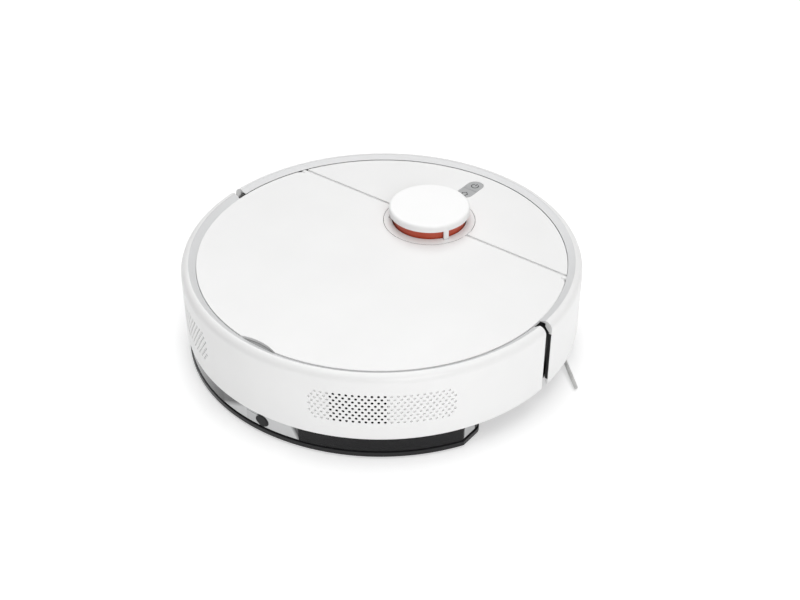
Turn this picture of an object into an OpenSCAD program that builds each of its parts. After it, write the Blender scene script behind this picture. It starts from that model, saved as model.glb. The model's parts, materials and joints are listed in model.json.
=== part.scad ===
/* [Body] */
// Radius of the outer wall
body_r = 175; // [172:1:180]
// Thickness of the outer wall and of the bumper
wall_t = 2.4; // [2:0.1:2.6]
// Height of the lower edge of the outer wall above the floor
skirt_z = 21; // [21:0.5:22]
// Height of the top face of the lid above the floor
lid_z = 81.5; // [81:0.5:84]
// Height of the crown of the rim above the lid
rim_rise = 3.2; // [2.8:0.1:4]
// Radius of the rounding between the wall and the rim
edge_r = 6.4; // [5:0.1:7]
// Width of the rim, from the wall's outer face to its inner edge
rim_w = 12.8; // [12.5:0.1:13.2]
// Height of the flat underside above the floor
belly_z = 10; // [9.5:0.1:10.4]

/* [Lid and bumper] */
// Gap round the lid
lid_gap = 0.4; // [0.3:0.1:0.6]
// Thickness of the lid and the front cover
lid_t = 2.5; // [2.4:0.1:2.8]
// Distance of the seam between lid and front cover from the body's axis
seam_y = 70; // [70:0.5:71]
// Radius of the hinge roll along the lid's front edge
roll_r = 3; // [3:0.1:3.2]
// Depth of the finger notch in the lid's rear edge
notch_in = 4.3; // [3:0.1:5]
// Gap between the bumper's ends and the rear wall
bumper_gap = 8.5; // [8:0.5:10]
// Travel of the bumper when it is pushed in
bumper_travel = 4.5; // [3:0.5:5]

/* [Turret] */
// Height of the turret's cap above the floor
turret_z = 97; // [96.5:0.5:99]
// Radius of the cap
cap_r = 36.8; // [36:0.1:37]
// Radius of the turning laser head
head_r = 33; // [32:0.5:33]
// Radius of the opening in the lid and the front cover
turret_hole_r = 42; // [42:0.1:43]

/* [Wheels] */
// Radius of the driving wheels
wheel_r = 35; // [35:0.5:35]
// Width of the tyres
tyre_w = 19; // [17:1:20]
// Distance of each driving wheel from the middle
wheel_x = 115; // [114:0.5:116]
// Radius of the front caster's wheel
caster_r = 13; // [12:0.5:13]

/* [Brushes and mop] */
// Radius of the main brush over its bristles
brush_r = 23; // [22:0.5:23]
// Reach of the side brush from its axis to the tips
side_reach = 93; // [85:1:95]
// Radius of the rear face of the water tank
tank_r = 173; // [172:0.5:174]
// Distance of the front edge of the mop module behind the body's axis
mop_front = 58; // [58:1:62]

/* [Vents] */
// Diameter of one vent hole
vent_d = 2.3; // [1.8:0.1:2.5]
// Spacing of the rows of vent holes
vent_row = 3.3; // [3.1:0.1:3.4]

/* [Hidden] */
$fn = 64;

// running clearance between a shaft and its bore
fit = 0.05;
// clearance between pieces that don't touch
clear = 0.3;
// overlap that joins two shapes of one piece
eps = 0.01;
// size of a block that cuts away everything on one side
far = 400;

white = [0.95, 0.95, 0.94];
light_grey = [0.82, 0.83, 0.84];
mid_grey = [0.6, 0.61, 0.62];
dark_grey = [0.2, 0.2, 0.21];
black = [0.08, 0.08, 0.09];
steel = [0.75, 0.76, 0.78];
orange_red = [0.8, 0.25, 0.14];
smoke = [0.2, 0.2, 0.21, 0.7];
green = [0.1, 0.35, 0.2];

// body levels and radii
rim_z = lid_z + rim_rise;
rim_in = body_r - rim_w;
lid_r = rim_in - lid_gap;
lid_under = lid_z - lid_t;
wall_in = body_r - wall_t;
tub_r = 160.5;
tub_t = 2;
floor_t = 2.4;
belly_r = 152;
front_flange_r = wall_in - bumper_travel - 0.7;
rear_flange_r = wall_in - 0.2;
flange_z = skirt_z + 1.5;
bay_z = skirt_z + 1;
bay_floor_t = 2.4;
bay_top = bay_z + bay_floor_t;
bay_y = -56;
deck_z = 73;
deck_t = 2.2;
deck_top = deck_z + deck_t;
ring_in = 157;

// rear wall: inner edge of its rim, lip beside the lid, and shelf that rests on the tray
wall_az = asin(bumper_gap / body_r);
wall_edge_z = lid_z - 1.1;
wall_edge_t = 1.5;
lip_low = 76;
lip_t = 1.6;
shelf_r = 163;

// bumper: inner edge of its rim, which slides over the front cover, posts, springs and end ribs
bumper_edge_z = lid_z + 0.7;
bumper_edge_t = 0.4;
guide_az = 25;
guide_r = 165;
guide_z = 34;
guide_t = 3;
guide_post_r = 1.5;
spring_x = 50;
spring_z = 50;
end_rib_az = 0.6;
end_rib_z = 74;

// hinge of the lid
hinge_y = seam_y - roll_r;
hinge_z = lid_z - roll_r;
notch_r = 50.5;
hinge_x = 103;
post_w = 6;
post_r = 2;
pin_r = 0.9;
roll_end = 149;
// corner of the lid beside the roll's end, cut away so that it swings clear of the rim
corner_cut = [[144.1, 68], [144.1, 63.2], [146.3, 62.9], [147.8, 62.4], [150.5, 59.5], [156, 59.5], [156, 68]];

// turret
turret_y = 69.8;
head_top = turret_z - 6.8;
head_low = lid_under - 0.1;
cap_low = turret_z - 6.3;
ring_r = 41.5;
ring_in_r = 34;
ring_top = lid_z + 0.7;
post_mid_r = 35.4;
cap_post_az = [-29, 91, 211];
plate_z = 61;
plate_t = 2;
belt_z = 65;
belt_w = 4;
belt_t = 0.9;
head_pulley_r = 20;
motor_pulley_r = 5;
laser_motor_pos = [-38, 112];

// driving wheels
arm_pivot_y = 55;
arm_pivot_z = 38;
housing_x = [88.5, 130.5];
housing_y = [-42, 66];
housing_t = 1.5;
arm_x = 92;
arm_w = 10;
hub_r = 27;
axle_r = 4;
pivot_r = 2;

// main brush
brush_z = 24;
brush_half = 78;
brush_wall_x = 80.5;
brush_wall_t = 3;
brush_open_y = 29;
shaft_r = 3;
pulley_x = -87.8;
pulley_w = 3.2;
roller_pulley_r = 9;
brush_motor_y = 43;
brush_motor_z = 48;

// side brush, caster, battery and buttons
side_pos = [118, 92];
side_arm_az = [-41.9, 138.1];
// height of the side brush's gearbox, above the tray's bevel
gear_z = 18;
caster_y = 126;
caster_trail = 7;
caster_cup_r = 21;
battery_size = [140, 40, 22];
battery_y = 67;
pill_w = 15.2;
pill_y = [119, 151];
pill_split = 135;

// dust path
bin_half = 75;
bin_y = [-130, -34];
bin_z = [bay_top, 71.5];
bin_t = 2;
fan_y = -90;
fan_z = bay_top + 23;
fan_r = 23;

// mop module
tank_z = [6.2, 20.6];
tank_half = 150;
tank_t = 2.2;
plate_low = 2.2;
latch_half = 6.5;

// screws that hold the deck to the tray
post_pos = [[82, 108], [-82, 108], [134, -67], [-134, -67], [30, -146], [-30, -146]];
screw_r = 1.4;

// a vertical tube
module tube(ro, ri, h) {
    difference() {
        cylinder(r = ro, h = h);
        translate([0, 0, -1]) cylinder(r = ri, h = h + 2);
    }
}

// a cylinder along X that starts at x
module rod_x(x, y, z, r, len) {
    translate([x, y, z]) rotate([0, 90, 0]) cylinder(r = r, h = len);
}

// a block given by its lowest and highest corners
module block(low, high) {
    translate(low) cube(high - low);
}

// the same shape on both sides of the middle
module both_sides() {
    children();
    mirror([1, 0, 0]) children();
}

// a plan outline with round corners
module round_rect(half_x, y0, y1, r) {
    translate([-half_x, y0 + r]) square([2 * half_x, y1 - y0 - 2 * r]);
    translate([-half_x + r, y0]) square([2 * half_x - 2 * r, y1 - y0]);
    for (x = [-half_x + r, half_x - r], y = [y0 + r, y1 - r])
        translate([x, y]) circle(r);
}

// a profile swept round the body's axis from one azimuth to another
module sweep(a0, a1) {
    rotate([0, 0, a0]) rotate_extrude(angle = a1 - a0, $fn = 180) children();
}

// the outline round two circles whose centres lie on the X axis
module belt_outline(r1, r2, dist) {
    hull() {
        circle(r1);
        translate([dist, 0]) circle(r2);
    }
}

// a belt that clears both pulleys
module belt(r1, r2, dist, w) {
    linear_extrude(w) difference() {
        belt_outline(r1 + clear + belt_t, r2 + clear + belt_t, dist);
        belt_outline(r1 + clear, r2 + clear, dist);
    }
}

// a coil spring along Z, swept along a helix
module coil(r, wire_r, h, turns) {
    sides = 6;
    per_turn = 10;
    rings = turns * per_turn;
    pts = [for (i = [0:rings], k = [0:sides - 1])
        let (a = 360 * i / per_turn, q = 360 * k / sides, rr = r + wire_r * cos(q))
        [rr * cos(a), rr * sin(a), wire_r + (h - 2 * wire_r) * i / rings + wire_r * sin(q)]];
    walls = [for (i = [0:rings - 1], k = [0:sides - 1])
        let (n = (k + 1) % sides)
        [i * sides + k, (i + 1) * sides + k, (i + 1) * sides + n, i * sides + n]];
    low = [for (k = [0:sides - 1]) k];
    high = [for (k = [sides - 1:-1:0]) rings * sides + k];
    polyhedron(pts, concat([low], walls, [high]), convexity = 10);
}

// section of the outer wall with its rounded crown and the band that slopes down to the rim's
// inner edge, whose height and thickness are given
module rim_section(edge_z, edge_t) {
    corner = [body_r - edge_r, rim_z - edge_r];
    foot_r = wall_t / 2;
    join = 0.5;
    translate([wall_in, skirt_z + foot_r]) square([wall_t, corner[1] - skirt_z - foot_r]);
    translate([wall_in + foot_r, skirt_z + foot_r]) circle(foot_r);
    difference() {
        intersection() {
            translate(corner) circle(edge_r);
            translate(corner - [join, join]) square(edge_r + join);
        }
        translate(corner) circle(edge_r - wall_t);
    }
    polygon([[rim_in, edge_z], [corner[0], rim_z], [corner[0], rim_z - wall_t + 0.2],
        [rim_in, edge_z - edge_t]]);
}

// section of the tray: flat belly, bevel, flange under the wall and upright tub wall
module tray_section(flange_r) {
    polygon([[0, belly_z], [belly_r, belly_z], [flange_r, skirt_z - 0.7], [flange_r, flange_z],
        [tub_r, flange_z], [tub_r, deck_z], [tub_r - tub_t, deck_z],
        [tub_r - tub_t, belly_z + 7.6], [belly_r - 1.3, belly_z + floor_t],
        [0, belly_z + floor_t]]);
}

// section of the tray over the mop bay
module bay_section() {
    polygon([[0, bay_z], [rear_flange_r, bay_z], [rear_flange_r, bay_top], [tub_r, bay_top],
        [tub_r, deck_z], [tub_r - tub_t, deck_z], [tub_r - tub_t, bay_top], [0, bay_top]]);
}

// everything between two distances in front of the body's axis
module slab(y0, y1) {
    translate([-far / 2, y0, -1]) cube([far, y1 - y0, far]);
}

function on_circle(r, az) = [r * cos(az), r * sin(az)];

module base_tray() {
    color(dark_grey) {
        difference() {
            union() {
                intersection() {
                    rotate_extrude($fn = 180) tray_section(front_flange_r);
                    slab(-bumper_gap, far / 2);
                }
                intersection() {
                    rotate_extrude($fn = 180) tray_section(rear_flange_r);
                    slab(bay_y, -bumper_gap + eps);
                }
                intersection() {
                    rotate_extrude($fn = 180) bay_section();
                    slab(-far / 2, bay_y + eps);
                }
                intersection() {
                    translate([0, 0, belly_z]) cylinder(r = belly_r, h = bay_top - belly_z);
                    slab(bay_y, bay_y + floor_t);
                }
                both_sides() translate(on_circle(guide_r, guide_az))
                    translate([0, 0, flange_z - eps])
                        cylinder(r = guide_post_r, h = guide_z + guide_t + 2 - flange_z);
            }
            // wheel openings
            both_sides() block([housing_x[0] + housing_t, housing_y[0] + housing_t, 0],
                [housing_x[1] - housing_t, housing_y[1] - housing_t, 20]);
            // main brush, caster and side brush
            block([-84.3, -brush_open_y - clear, 0], [84.3, brush_open_y + clear, 20]);
            translate([0, caster_y, 0]) cylinder(r = caster_cup_r + 1, h = 20);
            translate(side_pos) cylinder(r = 8.6, h = 40);
            // battery hatch
            block([-74, battery_y - 23, 0], [74, battery_y + 23, 20]);
            // charging contacts and cliff sensors
            both_sides() block([26, 138.8, 0], [38, 145.8, 20]);
            cliff_places() translate([-7.2, -3.2, 0]) cube([14.4, 6.4, 20]);
            // exhaust window behind the open vent holes
            sweep(-68, -50) translate([tub_r - 5, 37]) square([10, 31]);
            // screw holes
            for (p = post_pos) translate([p[0], p[1], 0]) {
                cylinder(r = screw_r, h = 40);
                translate([0, 0, screw_floor(p) - 1.7]) mirror([0, 0, 1]) cylinder(r = 3, h = 30);
            }
        }
    }
}

// top of the tray's floor at a screw
function screw_floor(p) = p[1] < bay_y ? bay_top : belly_z + floor_t;

module cliff_places() {
    for (az = [64, 116, 12, 168])
        translate(on_circle(142, az)) rotate([0, 0, az - 90]) children();
}

// staggered vent holes; through-holes lie between two half columns
module vent_field(az, first_open, last_open) {
    cols = 46;
    pitch = 0.839;
    depth = 1.2;
    mid_z = 52.6;
    for (k = [0:cols], j = [-4:4])
        if ((k + j) % 2 == 0 && abs(j) <= 2 + min(k, cols - k))
            rotate([0, 0, az + (k - cols / 2) * pitch])
                translate([body_r - (k >= first_open && k <= last_open ? 5 : depth), 0,
                    mid_z + j * vent_row]) rotate([0, 90, 0]) cylinder(d = vent_d, h = 6);
}

module side_wall() {
    color(white) {
        difference() {
            union() {
                sweep(180 + wall_az, 360 - wall_az) rim_section(wall_edge_z, wall_edge_t);
                // lip beside the lid
                sweep(180 + wall_az, 360 - wall_az)
                    translate([rim_in, lip_low]) square([lip_t, wall_edge_z - 0.2 - lip_low]);
                // shelf that rests on the tray
                sweep(180 + wall_az, 360 - wall_az)
                    translate([shelf_r, bay_top + 0.1]) square([wall_in - shelf_r + 0.6, 2]);
            }
            vent_field(-52.1, 7, 24);
            vent_field(-127.9, 1, 0);
        }
    }
}

module mid_deck() {
    color(black) {
        difference() {
            union() {
                translate([0, 0, deck_z]) cylinder(r = tub_r, h = deck_t, $fn = 180);
                translate([0, 0, deck_top - eps]) tube(tub_r, ring_in, lid_under - clear - deck_top);
                for (p = post_pos) translate([p[0], p[1], screw_floor(p)])
                    cylinder(r = 4, h = deck_z + eps - screw_floor(p));
                both_sides() {
                    block([hinge_x - post_w / 2, hinge_y - post_r, deck_top - eps],
                        [hinge_x + post_w / 2, hinge_y, hinge_z]);
                    rod_x(hinge_x - post_w / 2, hinge_y, hinge_z, post_r, post_w);
                    // pads that carry the front cover
                    block([60, 84, deck_top - eps], [80, 88, lid_under]);
                    block([30, 144, deck_top - eps], [44, 148, lid_under]);
                }
            }
            both_sides() rod_x(hinge_x - post_w, hinge_y, hinge_z, pin_r + fit, 2 * post_w);
            // openings for the dust bin, the turret and its motor
            block([-78, bin_y[0] - 4, 60], [78, bin_y[1] + 2, 90]);
            translate([0, turret_y, 60]) cylinder(r = 38, h = 30);
            // room for the ends of the roll
            both_sides() block([roll_end - 12, hinge_y - roll_r - 0.5, deck_top],
                [roll_end + 1, hinge_y + roll_r + 0.5, 90]);
            for (p = post_pos) translate([p[0], p[1], 0]) cylinder(r = screw_r, h = 40);
        }
    }
}

module lid_plate(y0, y1) {
    intersection() {
        translate([0, 0, lid_under]) cylinder(r = lid_r, h = lid_t, $fn = 180);
        slab(y0, y1);
    }
}

module front_cover() {
    color(white) {
        difference() {
            lid_plate(hinge_y, far / 2);
            rod_x(-far / 2, hinge_y, hinge_z, roll_r + lid_gap, far);
            block([-far / 2, hinge_y - 5, 0], [far / 2, hinge_y + roll_r + lid_gap, far]);
            translate([0, turret_y, 0]) cylinder(r = turret_hole_r, h = far);
            translate([0, 0, lid_under - 1]) linear_extrude(lid_t + 2) pill(clear, pill_y[0], pill_y[1]);
        }
    }
}

// outline of the button field, grown by a margin
module pill(grow, y0, y1) {
    intersection() {
        union() {
            translate([0, pill_y[0] + pill_w / 2]) circle(pill_w / 2 + grow);
            translate([0, pill_y[1] - pill_w / 2]) circle(pill_w / 2 + grow);
            translate([-pill_w / 2 - grow, pill_y[0] + pill_w / 2])
                square([pill_w + 2 * grow, pill_y[1] - pill_y[0] - pill_w]);
        }
        translate([-far / 2, y0 - grow]) square([far, y1 - y0 + 2 * grow]);
    }
}

module lid() {
    pocket_w = post_w + 1;
    pocket_r = post_r + clear;
    color(white) {
        difference() {
            union() {
                difference() {
                    lid_plate(-far / 2, hinge_y);
                    both_sides() linear_extrude(far) polygon(corner_cut);
                }
                rod_x(-roll_end, hinge_y, hinge_z, roll_r, 2 * roll_end);
            }
            translate([0, turret_y, 0]) cylinder(r = turret_hole_r, h = far);
            both_sides() {
                rod_x(hinge_x - pocket_w / 2, hinge_y, hinge_z, pocket_r, pocket_w);
                block([hinge_x - pocket_w / 2, hinge_y - roll_r - 1, hinge_z - roll_r - 1],
                    [hinge_x + pocket_w / 2, hinge_y + roll_r + 1, hinge_z]);
                rod_x(hinge_x - 9, hinge_y, hinge_z, pin_r, 18);
            }
            // shallow finger notch in the rear edge
            translate([0, -lid_r + notch_in - notch_r, 0]) cylinder(r = notch_r, h = far, $fn = 180);
        }
    }
}

module hinge_pins() {
    color(steel) both_sides() rod_x(hinge_x - 9, hinge_y, hinge_z, pin_r, 18);
}

module bumper() {
    color(white) {
        difference() {
            union() {
                sweep(0, 180) rim_section(bumper_edge_z, bumper_edge_t);
                both_sides() sweep(guide_az - 6, guide_az + 6)
                    translate([163.4, guide_z]) square([wall_in - 163.4 + eps, guide_t]);
                both_sides() block([spring_x - 5, 163.2, spring_z - 5], [spring_x + 5, 166.4, spring_z + 5]);
                // ribs that close the crown at the bumper's ends
                both_sides() sweep(0, end_rib_az) end_rib_section();
            }
            both_sides() translate([guide_r * cos(guide_az), guide_r * sin(guide_az), 0])
                bumper_slot();
            sweep(82, 98) translate([wall_in + 1.2, 38]) square([5, 22]);
        }
    }
}

module end_rib_section() {
    corner = [body_r - edge_r, rim_z - edge_r];
    polygon([corner + [0, 5], corner + [0, 1], [wall_in + 0.6, end_rib_z],
        [wall_in + 0.6, corner[1]], corner + [3.4, 3.4]]);
}

// slot in which a guide post runs
module bumper_slot() {
    r = guide_post_r + clear;
    cylinder(r = r, h = 60);
    translate([0, bumper_travel, 0]) cylinder(r = r, h = 60);
    translate([-r, 0, 0]) cube([2 * r, bumper_travel, 60]);
}

module bumper_window() {
    color(black) sweep(82.1, 97.9) translate([wall_in + 1.3, 38.2]) square([1, 21.6]);
}

module bumper_springs() {
    color(steel) both_sides() translate([spring_x, 153.9, spring_z]) rotate([-90, 0, 0])
        coil(3, 0.4, 9.2, 6);
}

module bumper_switches() {
    color(black) both_sides() rotate([0, 0, -25]) {
        block([-6, tub_r, 44], [6, tub_r + 5, 54]);
        block([-1, tub_r + 5 - eps, 47], [1, tub_r + 7.4, 51]);
    }
}

module turret_ring() {
    color(light_grey) translate([0, turret_y, 0]) difference() {
        rotate_extrude($fn = 120) polygon([[ring_r, deck_top], [ring_r, lid_z],
            [ring_in_r, ring_top], [ring_in_r, ring_top - 1.6], [ring_r - 1.8, lid_z - 1.6],
            [ring_r - 1.8, deck_top]]);
        for (az = cap_post_az) rotate([0, 0, az])
            translate([33, -2.6, 60]) cube([4.1, 5.2, 40]);
    }
}

module turret_base() {
    along = laser_motor_pos - [0, turret_y];
    color(black) difference() {
        union() {
            translate([0, turret_y, plate_z]) {
                cylinder(r = 42, h = plate_t);
                linear_extrude(plate_t) rotate([0, 0, atan2(along[1], along[0])])
                    belt_outline(42, 14, norm(along));
                for (az = [-60, 0, 60]) rotate([0, 0, az]) translate([38 + 3, 0, 0])
                    cylinder(r = 2.5, h = deck_z - plate_z);
                rotate([0, 0, 205]) translate([41, 0, 0]) cylinder(r = 2.5, h = deck_z - plate_z);
            }
            translate([0, turret_y, plate_z - 4]) cylinder(r = 15, h = 5);
        }
        translate([0, turret_y, 0]) cylinder(r = 13, h = far);
        translate(laser_motor_pos) cylinder(r = 2, h = far);
    }
}

module turret_cap() {
    corner = 2.4;
    shoulder_z = turret_z - corner;
    color(white) translate([0, turret_y, 0]) {
        rotate_extrude($fn = 120) difference() {
            union() {
                translate([0, cap_low]) square([cap_r, shoulder_z - cap_low]);
                translate([0, shoulder_z - eps]) square([cap_r - corner, corner + eps]);
                translate([cap_r - corner, shoulder_z]) circle(corner);
            }
            translate([-1, cap_low - 1]) square([head_r + clear + 1, 3.2]);
        }
        for (az = cap_post_az) rotate([0, 0, az])
            translate([post_mid_r - 1, -2.25, 76.4]) cube([2, 4.5, cap_low - 76.4 + eps]);
    }
}

module laser_head() {
    color(orange_red) translate([0, turret_y, 0]) difference() {
        union() {
            translate([0, 0, head_low]) cylinder(r = head_r, h = head_top - head_low);
            translate([0, 0, belt_z + belt_w]) cylinder(r = 14, h = head_low - belt_z - belt_w + eps);
            translate([0, 0, belt_z - 0.5]) cylinder(r = head_pulley_r, h = belt_w + 1);
            translate([0, 0, belt_z - 8]) cylinder(r = 8, h = 8);
        }
        translate([0, 0, head_low + 2]) tube(head_r - 2, 0.5, head_top - head_low - 4);
        // emitter and receiver windows
        for (x = [-12, 12]) block([x - 5, 0, head_low + 3.4], [x + 5, head_r + 5, head_top - 2.6]);
    }
}

module laser_bearing() {
    color(steel) translate([0, turret_y, plate_z - 4]) tube(13, 8 + fit, 6);
}

module laser_motor() {
    color(mid_grey) difference() {
        translate([laser_motor_pos[0], laser_motor_pos[1], plate_z - 10]) cylinder(r = 11, h = 10);
        translate([laser_motor_pos[0], laser_motor_pos[1], plate_z - 8]) cylinder(r = 1 + fit, h = 20);
    }
}

module laser_pulley() {
    color(light_grey) translate(laser_motor_pos) {
        translate([0, 0, belt_z - 0.5]) cylinder(r = motor_pulley_r, h = belt_w + 1);
        translate([0, 0, plate_z - 7.6]) cylinder(r = 1, h = belt_z - plate_z + 7.6);
    }
}

module laser_belt() {
    along = laser_motor_pos - [0, turret_y];
    color(black) translate([0, turret_y, belt_z]) rotate([0, 0, atan2(along[1], along[0])])
        belt(head_pulley_r, motor_pulley_r, norm(along), belt_w);
}

module button(y0, y1) {
    top = lid_z - 0.2;
    low = lid_under - 0.5;
    translate([0, 0, low]) linear_extrude(top - low) pill(0, y0, y1);
    translate([0, 0, low]) linear_extrude(0.4) intersection() {
        pill(0.9, y0, y1);
        translate([-far / 2, y0 < pill_split - 5 ? -far : pill_split + 0.2])
            square([far, y0 < pill_split - 5 ? far + pill_split - 0.2 : far]);
    }
}

module power_button() {
    color(mid_grey) button(pill_split + 0.2, pill_y[1]);
}

module home_button() {
    color(mid_grey) button(pill_y[0], pill_split - 0.2);
}

module button_board() {
    color(green) {
        block([-11, 117, deck_top], [11, 153, deck_top + 1.2]);
        for (y = [127, 143]) translate([0, y, deck_top + 1.2 - eps]) cylinder(r = 2, h = 1.2);
    }
}

module main_board() {
    board_z = 40;
    color(green) difference() {
        union() {
            block([-60, 93, board_z], [60, 141, board_z + 1.6]);
            block([-48, 98, board_z + 1.6 - eps], [-22, 124, board_z + 4]);
            block([-8, 100, board_z + 1.6 - eps], [14, 118, board_z + 3]);
            for (x = [26, 36, 46]) translate([x, 104, board_z + 1.6 - eps]) cylinder(r = 4, h = 8);
            block([-52, 134, board_z + 1.6 - eps], [52, 139, board_z + 7]);
            for (p = [[-54, 97], [54, 97], [-45, 136], [45, 136]])
                translate([p[0], p[1], belly_z + floor_t])
                    cylinder(r = 3, h = board_z - belly_z - floor_t + eps);
        }
    }
}

module battery_pack() {
    low = belly_z + floor_t;
    color([0.2, 0.35, 0.6]) {
        translate([0, 0, low]) linear_extrude(battery_size[2])
            round_rect(battery_size[0] / 2, battery_y - battery_size[1] / 2,
                battery_y + battery_size[1] / 2, 4);
    }
}

module battery_cover() {
    grow = 23 - clear;
    color(dark_grey) difference() {
        translate([0, 0, belly_z]) linear_extrude(floor_t)
            round_rect(74 - clear, battery_y - grow, battery_y + grow, 2);
        for (x = [-66, 66], y = [-17, 17]) translate([x, battery_y + y, belly_z - 1])
            cylinder(r = 2.5, h = 2.2);
    }
}

module dust_bin() {
    color([0.3, 0.32, 0.34, 0.8]) difference() {
        translate([0, 0, bin_z[0]]) linear_extrude(bin_z[1] - bin_z[0])
            round_rect(bin_half, bin_y[0], bin_y[1], 8);
        translate([0, 0, bin_z[0] + bin_t]) linear_extrude(bin_z[1] - bin_z[0] - 2 * bin_t)
            round_rect(bin_half - bin_t, bin_y[0] + bin_t, bin_y[1] - bin_t, 6);
        // inlet towards the brush and outlet through the filter
        block([-42, bin_y[1] - 5, 36], [42, bin_y[1] + 5, 48]);
        block([bin_half - 5, -120, 34], [bin_half + 5, -60, 64]);
        // grip recess in the top
        translate([0, 0, bin_z[1] - 1]) linear_extrude(5) round_rect(28, -96, -66, 10);
    }
}

module bin_filter() {
    color([0.9, 0.9, 0.88]) difference() {
        block([bin_half - bin_t, -120, 34], [bin_half + 2, -60, 64]);
        for (y = [-114:6:-66]) block([bin_half + 0.8, y - 1, 37], [bin_half + 5, y + 1, 61]);
    }
}

module fan_housing() {
    in_x = bin_half + 2;
    color(dark_grey) difference() {
        union() {
            rod_x(in_x + 3, fan_y, fan_z, fan_r, 20);
            rod_x(in_x, fan_y, fan_z, 15, 4);
            block([in_x + 5, -117, 38], [in_x + 21, fan_y, 60]);
        }
        rod_x(in_x + 5, fan_y, fan_z, fan_r - 2, 14);
        rod_x(in_x - 1, fan_y, fan_z, 12, 8);
        block([in_x + 7, -118, 40], [in_x + 19, fan_y, 58]);
        rod_x(in_x + 15, fan_y, fan_z, 2.5, 10);
    }
}

module fan_impeller() {
    x0 = bin_half + 9;
    color(light_grey) {
        rod_x(x0 + 8, fan_y, fan_z, 19, 1.6);
        rod_x(x0, fan_y, fan_z, 5, 9);
        for (a = [0:40:320]) translate([x0 + 1, fan_y, fan_z]) rotate([a, 0, 0])
            translate([0, 3, -0.8]) cube([7.5, 15, 1.6]);
        rod_x(x0 + 9, fan_y, fan_z, 1.5, 8.4);
    }
}

module fan_motor() {
    x0 = bin_half + 25;
    color(steel) difference() {
        rod_x(x0, fan_y, fan_z, 14, 18);
        rod_x(x0 - 1, fan_y, fan_z, 1.5 + fit, 10);
    }
}

module brush_housing() {
    bore_r = brush_r + 2;
    wall_x = brush_wall_x + brush_wall_t;
    color(dark_grey) difference() {
        union() {
            block([-wall_x, -brush_open_y, belly_z + 3], [wall_x, brush_open_y, 52]);
            block([-wall_x, -33, belly_z + floor_t], [wall_x, 33, belly_z + floor_t + 2]);
            block([-44, bin_y[1] + 0.2, 34], [44, -brush_open_y + eps, 50]);
        }
        rod_x(-brush_wall_x, 0, brush_z, bore_r, 2 * brush_wall_x);
        block([-brush_wall_x, -bore_r, 0], [brush_wall_x, bore_r, brush_z]);
        block([-42, bin_y[1] - 1, 36], [42, 0, 48]);
        rod_x(-wall_x - 1, 0, brush_z, 7, 2 * wall_x + 2);
    }
}

module brush_cover() {
    color(dark_grey) difference() {
        translate([0, 0, belly_z - 0.4]) linear_extrude(2.6)
            round_rect(84, -brush_open_y, brush_open_y, 3);
        block([-brush_half - 1.5, -21, 0], [brush_half + 1.5, 21, 20]);
    }
}

module main_roller() {
    color(orange_red) {
        rod_x(-brush_half, 0, brush_z, 13, 2 * brush_half);
        rod_x(-brush_wall_x - brush_wall_t - 4.3, 0, brush_z, shaft_r, 2 * brush_wall_x + brush_wall_t + 6.3);
        rod_x(pulley_x, 0, brush_z, roller_pulley_r, pulley_w);
        for (k = [0:5]) translate([-brush_half, 0, brush_z]) rotate([60 * k, 0, 0])
            translate([0, -1.5, 0]) cube([2 * brush_half, 3, brush_r]);
    }
}

module roller_bearings() {
    color(steel) both_sides() translate([brush_wall_x, 0, brush_z]) rotate([0, 90, 0])
        tube(7, shaft_r + fit, brush_wall_t);
}

module brush_motor() {
    color(mid_grey) difference() {
        union() {
            rod_x(-76, brush_motor_y, brush_motor_z, 11, 42);
            rod_x(-79, brush_motor_y, brush_motor_z, 4, 4);
        }
        rod_x(-80, brush_motor_y, brush_motor_z, 1.5 + fit, 12);
    }
}

module brush_pulley() {
    color(light_grey) {
        rod_x(pulley_x, brush_motor_y, brush_motor_z, motor_pulley_r, pulley_w);
        rod_x(pulley_x + pulley_w - eps, brush_motor_y, brush_motor_z, 1.5, 15);
    }
}

module brush_belt() {
    rise = brush_motor_z - brush_z;
    color(black) translate([pulley_x + 0.5, 0, brush_z]) rotate([atan2(rise, brush_motor_y), 0, 0])
        rotate([90, 0, 90])
            belt(roller_pulley_r, motor_pulley_r, norm([brush_motor_y, rise]), pulley_w - 1);
}

module side_brush_hub() {
    color(light_grey) translate([side_pos[0], side_pos[1], 0]) {
        translate([0, 0, 4]) cylinder(r = 8, h = 7);
        translate([0, 0, 10]) cylinder(r = 2.5, h = 14);
        for (az = side_arm_az) rotate([0, 0, az]) translate([5, -2.4, 4]) cube([15, 4.8, 4.6]);
    }
}

module side_brush_tufts() {
    root = 20;
    drop = atan2(4, side_reach - root);
    color(white) translate([side_pos[0], side_pos[1], 0])
        for (az = side_arm_az) rotate([0, 0, az]) translate([root, 0, 6.4])
            rotate([0, 90 + drop, 0]) cylinder(r1 = 1.9, r2 = 1.8, h = side_reach - root);
}

module side_brush_motor() {
    color(mid_grey) difference() {
        union() {
            translate([side_pos[0], side_pos[1], gear_z]) cylinder(r = 8, h = 10);
            translate([106, 80, gear_z]) cylinder(r = 12.5, h = 28);
            translate([0, 0, gear_z]) linear_extrude(10)
                polygon([[113, 98], [123.5, 86.5], [114, 72], [98, 88]]);
        }
        translate([side_pos[0], side_pos[1], gear_z - 1]) cylinder(r = 2.5 + fit, h = 8);
    }
}

module wheel_housings() {
    low = belly_z + floor_t;
    top = deck_z - 0.3;
    color(black) both_sides() difference() {
        block([housing_x[0], housing_y[0], low], [housing_x[1], housing_y[1], top]);
        block([housing_x[0] + housing_t, housing_y[0] + housing_t, 0],
            [housing_x[1] - housing_t, housing_y[1] - housing_t, top - housing_t]);
        rod_x(housing_x[0] - 1, arm_pivot_y, arm_pivot_z, pivot_r, 60);
    }
}

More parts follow.
